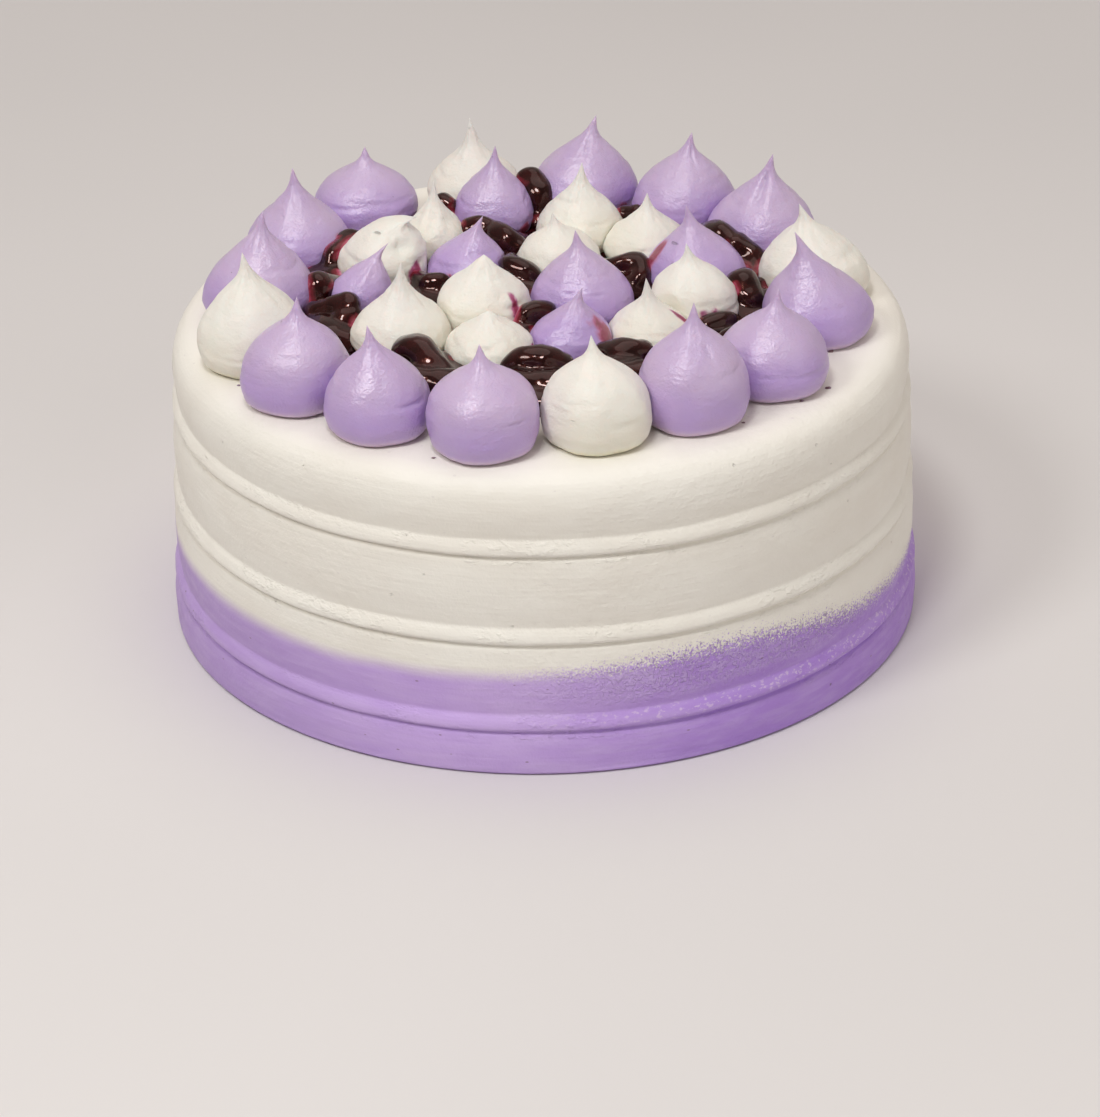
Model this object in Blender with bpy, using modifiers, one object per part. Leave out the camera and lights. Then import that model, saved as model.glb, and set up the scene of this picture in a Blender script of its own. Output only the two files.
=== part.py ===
"""A round blueberry cake: combed buttercream sides, piped kisses on top, and blueberry compote in the gaps.

Metres, +Z up, +Y away from the front. The origin is the middle of the cake's base.
"""

import math
import random

import bmesh
import bpy
from mathutils import Vector

MM = 0.001
GAP = 0.3 * MM

# The iced cake: an 8 inch sponge with about 9 mm of buttercream round it.
BASE_RADIUS = 111.2 * MM
RIM_RADIUS = 107.6 * MM
CAKE_HEIGHT = 91.0 * MM
RIM_ROUND = 8.0 * MM
FOOT_ROUND = 1.5 * MM
FOOT_TUCK = 0.45 * MM
CAKE_SEGMENTS = 56
MERGE_DISTANCE = 0.01 * MM

# The comb leaves wide convex bands with a narrow bead between each two.
FIRST_GROOVE = 13.3 * MM
COMB_PITCH = 27.0 * MM
BEAD_COUNT = 3
BEAD_HEIGHT = 5.3 * MM
BAND_GROOVE = 0.8 * MM
BAND_TUCK = 1.4 * MM
BAND_CROWN_AT = 0.35
BEAD_CREST_AT = 0.7
BEAD_CREST = 0.2 * MM

# A piped kiss from the tip down: the share of its height, then of its widest radius when round, pointed and blunt.
KISS_PROFILE = (
    (1.0, 0.0, 0.0, 0.0), (0.93, 0.05, 0.04, 0.16), (0.85, 0.12, 0.08, 0.3), (0.77, 0.27, 0.13, 0.46),
    (0.69, 0.52, 0.21, 0.62), (0.58, 0.8, 0.39, 0.8), (0.43, 0.96, 0.72, 0.95), (0.28, 1.0, 0.94, 1.0),
    (0.12, 0.95, 1.0, 0.95), (0.0, 0.79, 0.86, 0.8),
)
ROUND_COLUMN = 1
POINTED_COLUMN = 2
BLUNT_COLUMN = 3
KISS_SEGMENTS = 14
KISS_LEAN_POWER = 2.4
KISS_UNEVEN = 0.02
KISS_SEED = 7

# Each kiss: (colour, right of centre, behind centre, width, height, tip leaning right, all in mm, how pointed).
# Under 0, the last number is how blunt it is.
# The outer ring runs on from the front to the right; the kisses inside it are smaller and less even.
OUTER_RING = (
    ("lilac", -16.0, -85.0, 31.5, 30.8, -0.7, 0.0),
    ("white", 15.2, -81.0, 31.0, 31.0, -1.3, 0.2),
    ("lilac", 42.3, -69.7, 31.5, 35.0, 0.2, 0.2),
    ("lilac", 65.3, -49.0, 32.8, 29.0, 1.7, 0.3),
    ("lilac", 80.1, -15.5, 32.7, 31.5, -6.8, 0.7),
    ("white", 80.7, 11.0, 33.0, 28.5, -4.5, 0.4),
    ("lilac", 66.7, 42.6, 33.0, 31.0, 3.5, 0.6),
    ("lilac", 44.3, 63.7, 32.3, 29.6, 2.5, 0.4),
    ("lilac", 13.7, 76.5, 32.5, 30.5, 4.5, 0.5),
    ("white", -19.3, 82.0, 29.5, 28.0, -1.2, 1.0),
    ("lilac", -52.7, 68.3, 32.0, 25.0, 0.5, 0.3),
    ("lilac", -71.8, 40.3, 31.8, 30.5, -1.0, 0.7),
    ("lilac", -82.0, 5.5, 32.8, 32.0, 2.0, 0.6),
    ("white", -82.0, -28.0, 32.2, 34.0, -2.2, 0.5),
    ("lilac", -68.7, -53.3, 31.6, 31.4, 1.0, 0.2),
    ("lilac", -45.2, -72.7, 30.6, 31.4, -2.5, 0.4),
)
INNER_KISSES = (
    ("lilac", -13.5, 62.5, 25.0, 27.0, 0.9, 0.6),
    ("white", 12.4, 50.3, 27.0, 26.2, 1.0, 0.8),
    ("white", -31.4, 43.5, 21.0, 24.0, 0.4, 0.9),
    ("white", -46.2, 23.0, 27.0, 24.0, 4.0, -1.0),
    ("lilac", -21.3, 22.9, 25.0, 21.4, 5.0, 0.6),
    ("white", 6.1, 27.3, 26.0, 20.0, -2.0, 0.3),
    ("white", -16.4, -9.5, 27.3, 23.5, 0.5, -0.8),
    ("lilac", 12.5, -2.5, 30.0, 27.6, -1.9, 0.5),
    ("white", 32.3, 38.4, 26.5, 21.0, 0.2, 0.8),
    ("lilac", 46.3, 18.3, 29.6, 25.5, -2.9, 0.7),
    ("white", 44.8, -6.5, 26.5, 24.5, -2.3, 0.3),
    ("lilac", -53.0, 2.5, 19.5, 22.5, 9.5, 0.4),
    ("white", -40.0, -22.5, 29.4, 27.5, 0.6, 0.9),
    ("lilac", 8.7, -26.5, 24.6, 20.3, 3.5, 0.7),
    ("white", 31.5, -22.5, 24.5, 21.0, -1.0, 1.0),
    ("white", -14.6, -34.0, 26.0, 17.0, 0.0, -0.9),
)

# Compote in the gaps, each heap (right of centre, behind centre, reach, height), in mm, with its own berries.
COMPOTE_HEAPS = (
    (-64.0, 7.0, 14.0, 15.0), (-60.0, -15.5, 13.0, 13.0), (-60.0, 25.5, 13.0, 14.0), (-30.0, 61.5, 10.0, 12.0),
    (0.5, 67.0, 10.0, 16.0), (28.0, 54.0, 11.0, 12.0), (61.5, 24.5, 14.0, 15.0), (60.5, -1.5, 13.0, 14.0),
    (52.0, -28.0, 13.0, 11.0), (21.5, -49.0, 17.0, 13.0), (-4.0, -55.0, 16.0, 13.0), (-31.5, -47.0, 15.0, 14.0),
    (-11.0, 42.0, 13.0, 13.0), (-7.0, 11.5, 12.0, 13.0), (-32.5, 4.5, 12.0, 12.0), (25.5, 16.5, 13.0, 12.0),
    (-3.5, -19.5, 12.0, 14.0),
)
BERRY_RADIUS = 5.2 * MM
BERRIES_PER_HEAP = 4
BERRY_SPREAD = 0.45
BERRY_DROPS = (0.1, 0.6)
POOL_SHARE = 0.9
HEAP_SEED = 11
HEAP_SEGMENTS = 12
HEAP_RINGS = 7
HEAP_CLEARANCE = 1.2 * MM
HEAP_STEM = 0.3 * MM
CUSP_ANGLE = math.radians(18)
CUSP_SHARPNESS = 1.3

BUTTERCREAM_WHITE = (0.86, 0.83, 0.74, 1.0)
BUTTERCREAM_LILAC = (0.55, 0.40, 0.68, 1.0)
COMPOTE_PURPLE = (0.035, 0.008, 0.016, 1.0)
WHITE_ROUGHNESS = 0.55
LILAC_ROUGHNESS = 0.5
COMPOTE_ROUGHNESS = 0.12


def clear_scene():
    for obj in list(bpy.data.objects):
        bpy.data.objects.remove(obj)


def new_collection(name):
    collection = bpy.data.collections.new(name)
    bpy.context.scene.collection.children.link(collection)
    return collection


def principled(name, colour, roughness):
    material = bpy.data.materials.new(name)
    material.use_nodes = True
    shader = material.node_tree.nodes["Principled BSDF"]
    shader.inputs["Base Color"].default_value = colour
    shader.inputs["Roughness"].default_value = roughness
    shader.inputs["Metallic"].default_value = 0.0
    return material


def side_radius(z):
    """The tapered side before combing."""
    return BASE_RADIUS + (RIM_RADIUS - BASE_RADIUS) * z / CAKE_HEIGHT


def band_offset(share):
    """How far a band stands off the side, from its groove at share 0, down to its tucked-in lower edge at 1."""
    if share < BAND_CROWN_AT:
        return -BAND_GROOVE * (1 - share / BAND_CROWN_AT) ** 2
    return -BAND_TUCK * ((share - BAND_CROWN_AT) / (1 - BAND_CROWN_AT)) ** 2


def bead_offset(share):
    """How far a bead stands off the side, from its upper corner at share 0, down to the groove under it at 1."""
    if share < BEAD_CREST_AT:
        return -BAND_TUCK + (BAND_TUCK + BEAD_CREST) * math.sin(math.pi / 2 * share / BEAD_CREST_AT)
    return BEAD_CREST - (BAND_GROOVE + BEAD_CREST) * ((share - BEAD_CREST_AT) / (1 - BEAD_CREST_AT)) ** 2


def side_points():
    """The combed side from the rim's rounding down to the foot, as (radius, height)."""
    points = []
    top = CAKE_HEIGHT - RIM_ROUND
    for bead in reversed(range(BEAD_COUNT)):
        groove = FIRST_GROOVE + bead * COMB_PITCH
        corner = groove + BEAD_HEIGHT
        first_share = 0.0 if bead < BEAD_COUNT - 1 else BAND_CROWN_AT
        for share in (first_share, 0.5, 0.8, 1.0):
            z = top + (corner - top) * (share - first_share) / (1 - first_share)
            points.append((side_radius(z) + band_offset(share), z))
        for share in (0.35, BEAD_CREST_AT):
            z = corner - BEAD_HEIGHT * share
            points.append((side_radius(z) + bead_offset(share), z))
        top = groove
    for share in (0.0, BAND_CROWN_AT, 0.7):
        z = top + (FOOT_ROUND - top) * share
        points.append((side_radius(z) + band_offset(share), z))
    return points


def cake_profile():
    """The cake's outline from the middle of the top, over the rim and down the side to the middle of the base."""
    points = [(0.0, CAKE_HEIGHT)]
    flat_radius = side_radius(CAKE_HEIGHT) - RIM_ROUND
    for step in range(4):
        angle = math.pi / 2 * (1 - step / 4)
        points.append((flat_radius + RIM_ROUND * math.cos(angle), CAKE_HEIGHT - RIM_ROUND * (1 - math.sin(angle))))
    points += side_points()
    points += [(BASE_RADIUS - FOOT_TUCK, FOOT_ROUND), (BASE_RADIUS - FOOT_ROUND, 0.0), (0.0, 0.0)]
    return points


def turned(name, profile, segments, collection):
    """A closed shape turned about Z from (radius, height) points that run down its outer side."""
    mesh = bpy.data.meshes.new(name)
    points = [(radius, 0.0, z) for radius, z in profile]
    mesh.from_pydata(points, [(i, i + 1) for i in range(len(points) - 1)], [])
    obj = bpy.data.objects.new(name, mesh)
    collection.objects.link(obj)
    screw = obj.modifiers.new("Turn", "SCREW")
    screw.axis = "Z"
    screw.steps = screw.render_steps = segments
    screw.use_merge_vertices = True
    screw.merge_threshold = MERGE_DISTANCE
    screw.use_smooth_shade = True
    return obj


def turned_mesh(name, profile, segments):
    """The same turned shape as a plain mesh, for pieces that are then worked by hand."""
    obj = turned(name, profile, segments, bpy.context.scene.collection)
    graph = bpy.context.evaluated_depsgraph_get()
    mesh = bpy.data.meshes.new_from_object(obj.evaluated_get(graph))
    bpy.data.objects.remove(obj)
    return mesh


def piped_kisses():
    """Every kiss, the outer ring first: colour, foot, radius, height, lean to the right and how pointed."""
    return [
        {"colour": colour, "foot": Vector((x, y)) * MM, "radius": width / 2 * MM, "height": height * MM,
         "lean": lean * MM, "pointed": pointed}
        for colour, x, y, width, height, lean, pointed in OUTER_RING + INNER_KISSES
    ]


def contact_planes(piece, others):
    """Where soft neighbours press on this piece: (distance from its foot, direction) of each flat they share."""
    planes = []
    for other in others:
        away = other["foot"] - piece["foot"]
        apart = away.length
        if other is piece or apart > piece["radius"] + other["radius"] + GAP:
            continue
        share = (apart**2 + piece["radius"] ** 2 - other["radius"] ** 2) / (2 * apart)
        planes.append((share - GAP / 2, away.normalized()))
    return planes


def radius_at(kiss, height):
    """The kiss's radius at a height above its foot, read from its profile."""
    share = height / kiss["height"]
    if share >= 1:
        return 0.0
    for upper, lower in zip(KISS_PROFILE, KISS_PROFILE[1:]):
        if share >= lower[0]:
            break
    down = (upper[0] - share) / (upper[0] - lower[0])
    other = POINTED_COLUMN if kiss["pointed"] > 0 else BLUNT_COLUMN
    round_radius = upper[ROUND_COLUMN] + (lower[ROUND_COLUMN] - upper[ROUND_COLUMN]) * down
    other_radius = upper[other] + (lower[other] - upper[other]) * down
    return kiss["radius"] * (round_radius + (other_radius - round_radius) * abs(kiss["pointed"]))


def axis_at(kiss, height):
    """The middle of the kiss at a height above its foot, as its tip leans."""
    share = min(height / kiss["height"], 1.0)
    return kiss["foot"] + Vector((kiss["lean"] * share**KISS_LEAN_POWER, 0))


def shape_kiss(mesh, kiss, others, rng):
    """Turns the unit rod into this kiss: its outline, lean and unevenness, pressed flat where neighbours touch."""
    planes = contact_planes(kiss, others)
    lobes = [(count, KISS_UNEVEN * rng.uniform(0.4, 1.0), rng.uniform(0, math.tau)) for count in (2, 3)]
    for vertex in mesh.vertices:
        bearing = math.atan2(vertex.co.y, vertex.co.x)
        swell = 1 + sum(size * math.sin(count * bearing + phase) for count, size, phase in lobes)
        height = vertex.co.z * kiss["height"]
        place = axis_at(kiss, height) + Vector(vertex.co.xy) * radius_at(kiss, height) * swell
        for distance, direction in planes:
            beyond = (place - kiss["foot"]).dot(direction) - distance
            if beyond > 0:
                place -= direction * beyond
        vertex.co = (place.x, place.y, CAKE_HEIGHT + GAP + height)


def make_kisses(kisses, materials, collection):
    rod_profile = [(0.0, 1.0)] + [(1.0, share) for share, *_ in KISS_PROFILE[1:]] + [(0.0, 0.0)]
    unit = turned_mesh("unit_kiss", rod_profile, KISS_SEGMENTS)
    rng = random.Random(KISS_SEED)
    ring_count = len(OUTER_RING)
    for index, kiss in enumerate(kisses):
        place = f"ring_{index + 1:02d}" if index < ring_count else f"inner_{index - ring_count + 1:02d}"
        mesh = unit.copy()
        mesh.name = f"kiss_{place}"
        shape_kiss(mesh, kiss, kisses, rng)
        mesh.materials.append(materials[kiss["colour"]])
        collection.objects.link(bpy.data.objects.new(mesh.name, mesh))
    bpy.data.meshes.remove(unit)


def way_out(start, direction, centre, radius):
    """How far a level ray runs before it meets a circle, or None."""
    to_centre = centre - start
    along = to_centre.dot(direction)
    miss = to_centre.length_squared - along**2
    if along <= 0 or miss >= radius**2:
        return None
    return along - math.sqrt(radius**2 - miss)


def berry_reach(direction, berries):
    """How far the fused berries reach from the heap's middle in this direction."""
    reach = 0.0
    for centre, radius in berries:
        along = centre.dot(direction)
        miss = centre.length_squared - along**2
        if miss < radius**2:
            reach = max(reach, along + math.sqrt(radius**2 - miss))
    return reach


def heap_berries(reach, height, rng):
    """Where a heap's berries sit about its middle: one on top and the rest round it, over a flat pool of gel."""
    top = height / 2 - BERRY_RADIUS
    berries = [(Vector((0, 0, top)), BERRY_RADIUS)]
    turn = rng.uniform(0, math.tau)
    for number in range(BERRIES_PER_HEAP - 1):
        bearing = turn + math.tau * number / (BERRIES_PER_HEAP - 1)
        out = BERRY_SPREAD * reach
        drop = top - rng.uniform(*BERRY_DROPS) * BERRY_RADIUS
        berries.append((Vector((out * math.cos(bearing), out * math.sin(bearing), drop)), BERRY_RADIUS))
    return berries


def compote_heaps():
    return [
        {"foot": Vector((x, y)) * MM, "radius": reach * MM, "height": height * MM}
        for x, y, reach, height in COMPOTE_HEAPS
    ]


def blocked_at(heap, towards, level, kisses, planes):
    """How far a level ray from a heap's middle runs before it meets a kiss or the next heap."""
    limits = [2 * heap["radius"]]
    for kiss in kisses:
        met_at = way_out(heap["foot"], towards, axis_at(kiss, level), radius_at(kiss, level) + HEAP_CLEARANCE)
        if met_at is not None:
            limits.append(met_at)
    for distance, direction in planes:
        if towards.dot(direction) > 0:
            limits.append(distance / towards.dot(direction))
    return min(limits)


def free_reach(heap, towards, level, kisses, planes):
    """How far a heap spreads this way: less than the ray's run in a sharp cusp, and never less than a thin stem."""
    ahead = blocked_at(heap, towards, level, kisses, planes)
    for turn in (-CUSP_ANGLE, CUSP_ANGLE):
        beside = Vector((
            towards.x * math.cos(turn) - towards.y * math.sin(turn),
            towards.x * math.sin(turn) + towards.y * math.cos(turn),
        ))
        ahead = min(ahead, CUSP_SHARPNESS * blocked_at(heap, beside, level, kisses, planes))
    return max(ahead, HEAP_STEM)


def make_heap(name, heap, others, kisses, rng, material, collection):
    """Compote in one gap: a ball pulled out to its berries, then held back from the pieces round it."""
    reach = heap["radius"]
    half = heap["height"] / 2
    berries = heap_berries(reach, heap["height"], rng)
    planes = contact_planes(heap, others)
    shape = bmesh.new()
    bmesh.ops.create_uvsphere(shape, u_segments=HEAP_SEGMENTS, v_segments=HEAP_RINGS, radius=1.0)
    for vertex in shape.verts:
        direction = vertex.co.normalized()
        pool = 1 / math.hypot(direction.x / reach, direction.y / reach, direction.z / half)
        place = direction * max(berry_reach(direction, berries), POOL_SHARE * pool)
        level = min(max(place.z + half, 0.0), 2 * half)
        flat = place.xy
        if flat.length > 0:
            towards = flat.normalized()
            flat = towards * min(flat.length, free_reach(heap, towards, level, kisses, planes))
        vertex.co = (heap["foot"].x + flat.x, heap["foot"].y + flat.y, CAKE_HEIGHT + GAP + level)
    mesh = bpy.data.meshes.new(name)
    shape.to_mesh(mesh)
    shape.free()
    mesh.materials.append(material)
    mesh.shade_smooth()
    collection.objects.link(bpy.data.objects.new(name, mesh))


def main():
    clear_scene()
    cake = new_collection("blueberry_cake")
    materials = {
        "white": principled("buttercream_white", BUTTERCREAM_WHITE, WHITE_ROUGHNESS),
        "lilac": principled("buttercream_lilac", BUTTERCREAM_LILAC, LILAC_ROUGHNESS),
    }
    compote = principled("blueberry_compote", COMPOTE_PURPLE, COMPOTE_ROUGHNESS)
    body = turned("cake_body", cake_profile(), CAKE_SEGMENTS, cake)
    body.data.materials.append(materials["white"])
    kisses = piped_kisses()
    make_kisses(kisses, materials, cake)
    rng = random.Random(HEAP_SEED)
    heaps = compote_heaps()
    for number, heap in enumerate(heaps, 1):
        make_heap(f"compote_{number:02d}", heap, heaps, kisses, rng, compote, cake)


main()
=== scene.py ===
"""The blueberry cake's looks: combed icing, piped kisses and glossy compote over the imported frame."""

import math
import random

import bmesh
import bpy
import numpy as np
from mathutils import Matrix, Vector, noise


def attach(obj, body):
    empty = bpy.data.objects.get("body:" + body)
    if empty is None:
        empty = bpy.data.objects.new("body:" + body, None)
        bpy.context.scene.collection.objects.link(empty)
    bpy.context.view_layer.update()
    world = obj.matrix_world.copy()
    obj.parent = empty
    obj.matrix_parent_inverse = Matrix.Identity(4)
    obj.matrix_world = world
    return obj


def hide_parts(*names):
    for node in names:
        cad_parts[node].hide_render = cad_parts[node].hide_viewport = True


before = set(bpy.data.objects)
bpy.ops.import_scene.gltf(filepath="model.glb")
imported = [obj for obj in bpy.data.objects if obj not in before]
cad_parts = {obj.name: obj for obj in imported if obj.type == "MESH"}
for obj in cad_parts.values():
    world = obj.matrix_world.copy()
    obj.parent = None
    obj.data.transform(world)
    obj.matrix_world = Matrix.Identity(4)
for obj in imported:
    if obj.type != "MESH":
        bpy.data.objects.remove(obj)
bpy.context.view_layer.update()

MM = 0.001

# Without a seed of its own the vector noise starts from the clock, and the compote changes at each run.
NOISE_SEED = 7

# The iced cake, with the same sizes as its solid.
BASE_RADIUS = 111.2
RIM_RADIUS = 107.6
CAKE_HEIGHT = 91.0
RIM_ROUND = 8.0
RIM_SOFT_FROM = 74.0
FOOT_ROUND = 1.5
FIRST_GROOVE = 13.3
COMB_PITCH = 27.0
BEAD_COUNT = 3
BEAD_HEIGHT = 5.3
BAND_GROOVE = 0.8
BAND_TUCK = 1.4
BAND_CROWN_AT = 0.35
BEAD_CREST_AT = 0.7
BEAD_CREST = 0.2
NOTCH_DEPTH = 0.7
NOTCH_HEIGHT = 0.55
PURPLE_TOP = 30.6
GAP = 0.3

# A piped kiss from the tip down: the share of its height, then of its widest radius when it is round,
# pointed and blunt.
KISS_PROFILE = (
    (1.0, 0.0, 0.0, 0.0), (0.93, 0.05, 0.04, 0.16), (0.85, 0.12, 0.08, 0.3), (0.77, 0.27, 0.13, 0.46),
    (0.69, 0.52, 0.21, 0.62), (0.58, 0.8, 0.39, 0.8), (0.43, 0.96, 0.72, 0.95), (0.28, 1.0, 0.94, 1.0),
    (0.12, 0.95, 1.0, 0.95), (0.0, 0.79, 0.86, 0.8),
)
KISS_LEAN_POWER = 2.4

# Each kiss: (colour, right of centre, behind centre, width, height, tip leaning right, all in mm, and how
# pointed). Under 0, the last number is how blunt it is.
OUTER_RING = (
    ("lilac", -16.0, -85.0, 31.5, 30.8, -0.7, 0.0),
    ("white", 15.2, -81.0, 31.0, 31.0, -1.3, 0.2),
    ("lilac", 42.3, -69.7, 31.5, 35.0, 0.2, 0.2),
    ("lilac", 65.3, -49.0, 32.8, 29.0, 1.7, 0.3),
    ("lilac", 80.1, -15.5, 32.7, 31.5, -6.8, 0.7),
    ("white", 80.7, 11.0, 33.0, 28.5, -4.5, 0.4),
    ("lilac", 66.7, 42.6, 33.0, 31.0, 3.5, 0.6),
    ("lilac", 44.3, 63.7, 32.3, 29.6, 2.5, 0.4),
    ("lilac", 13.7, 76.5, 32.5, 30.5, 4.5, 0.5),
    ("white", -19.3, 82.0, 29.5, 28.0, -1.2, 1.0),
    ("lilac", -52.7, 68.3, 32.0, 25.0, 0.5, 0.3),
    ("lilac", -71.8, 40.3, 31.8, 30.5, -1.0, 0.7),
    ("lilac", -82.0, 5.5, 32.8, 32.0, 2.0, 0.6),
    ("white", -82.0, -28.0, 32.2, 34.0, -2.2, 0.5),
    ("lilac", -68.7, -53.3, 31.6, 31.4, 1.0, 0.2),
    ("lilac", -45.2, -72.7, 30.6, 31.4, -2.5, 0.4),
)
INNER_KISSES = (
    ("lilac", -13.5, 62.5, 25.0, 27.0, 0.9, 0.6),
    ("white", 12.4, 50.3, 27.0, 26.2, 1.0, 0.8),
    ("white", -31.4, 43.5, 21.0, 24.0, 0.4, 0.9),
    ("white", -46.2, 23.0, 27.0, 24.0, 4.0, -1.0),
    ("lilac", -21.3, 22.9, 25.0, 21.4, 5.0, 0.6),
    ("white", 6.1, 27.3, 26.0, 20.0, -2.0, 0.3),
    ("white", -16.4, -9.5, 27.3, 23.5, 0.5, -0.8),
    ("lilac", 12.5, -2.5, 30.0, 27.6, -1.9, 0.5),
    ("white", 32.3, 38.4, 26.5, 21.0, 0.2, 0.8),
    ("lilac", 46.3, 18.3, 29.6, 25.5, -2.9, 0.7),
    ("white", 44.8, -6.5, 26.5, 24.5, -2.3, 0.3),
    ("lilac", -53.0, 2.5, 19.5, 22.5, 9.5, 0.4),
    ("white", -40.0, -22.5, 29.4, 27.5, 0.6, 0.9),
    ("lilac", 8.7, -26.5, 24.6, 20.3, 3.5, 0.7),
    ("white", 31.5, -22.5, 24.5, 21.0, -1.0, 1.0),
    ("white", -14.6, -34.0, 26.0, 17.0, 0.0, -0.9),
)

# Compote in the gaps: each heap's (right of centre, behind centre, reach, height), in mm.
COMPOTE_HEAPS = (
    (-64.0, 7.0, 14.0, 15.0), (-60.0, -15.5, 13.0, 13.0), (-60.0, 25.5, 13.0, 14.0),
    (-30.0, 61.5, 10.0, 12.0), (0.5, 67.0, 10.0, 16.0), (28.0, 54.0, 11.0, 12.0),
    (61.5, 24.5, 14.0, 15.0), (60.5, -1.5, 13.0, 14.0), (52.0, -28.0, 13.0, 11.0),
    (21.5, -49.0, 17.0, 13.0), (-4.0, -55.0, 16.0, 13.0), (-31.5, -47.0, 15.0, 14.0),
    (-11.0, 42.0, 13.0, 13.0), (-7.0, 11.5, 12.0, 13.0), (-32.5, 4.5, 12.0, 12.0),
    (25.5, 16.5, 13.0, 12.0), (-3.5, -19.5, 12.0, 14.0),
)

# The next three tables number the kisses from 0, through the outer ring and on through the inner kisses.

# Dents: (kiss, bearing in degrees, share of its height, then half width, half height and depth in mm).
DENTS = (
    (6, 255, 0.72, 1.3, 4.2, 1.3), (6, 248, 0.6, 1.0, 1.2, 0.8), (2, 298, 0.66, 0.9, 2.2, 0.7),
    (7, 290, 0.8, 0.5, 2.6, 0.6), (8, 262, 0.7, 0.6, 2.8, 0.6), (17, 262, 0.7, 0.5, 3.2, 0.6),
    (15, 312, 0.37, 5.5, 0.35, 0.7), (0, 305, 0.4, 4.5, 0.3, 0.45), (3, 262, 0.3, 2.2, 0.3, 0.5),
    (3, 285, 0.34, 1.6, 0.3, 0.5), (2, 285, 0.33, 1.5, 0.3, 0.4), (4, 300, 0.4, 1.2, 0.4, 0.6),
    (23, 250, 0.45, 1.6, 0.35, 0.6), (23, 292, 0.43, 2.0, 0.35, 0.6), (22, 318, 0.45, 3.0, 0.8, 0.8),
    (22, 300, 0.6, 2.0, 1.2, 0.6), (1, 305, 0.3, 3.0, 0.9, 0.5), (1, 285, 0.62, 2.0, 1.4, 0.4),
    (5, 330, 0.5, 4.0, 1.5, 0.8), (13, 262, 0.2, 9.0, 0.5, 0.5), (19, 300, 0.62, 3.0, 1.6, 1.6),
    (19, 325, 0.4, 2.0, 1.0, 1.0), (31, 262, 0.55, 3.0, 1.0, 0.6), (9, 240, 0.5, 3.0, 2.0, 0.5),
)

# The one tip that has fallen over: (kiss, from which share of its height, mm to the right, mm down).
FALLEN_TIP = (19, 0.78, 6.5, 3.0)

# Gel run onto the kisses: (kiss, bearing in degrees, from and to which share of its height, width in mm).
STAINS = (
    (29, 335, 0.1, 0.62, 8.0), (22, 318, 0.12, 0.58, 5.0), (19, 318, 0.08, 0.46, 6.0),
    (20, 240, 0.1, 0.36, 5.0), (25, 190, 0.1, 0.66, 6.0), (31, 350, 0.05, 0.5, 5.0),
    (26, 290, -0.1, 0.34, 9.0), (2, 150, 0.02, 0.34, 7.0), (12, 35, 0.1, 0.42, 8.0),
    (11, 335, 0.12, 0.44, 8.0), (8, 318, 0.02, 0.2, 6.0), (16, 318, 0.02, 0.2, 7.0),
    (30, 352, 0.3, 0.55, 3.0),
)

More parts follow.
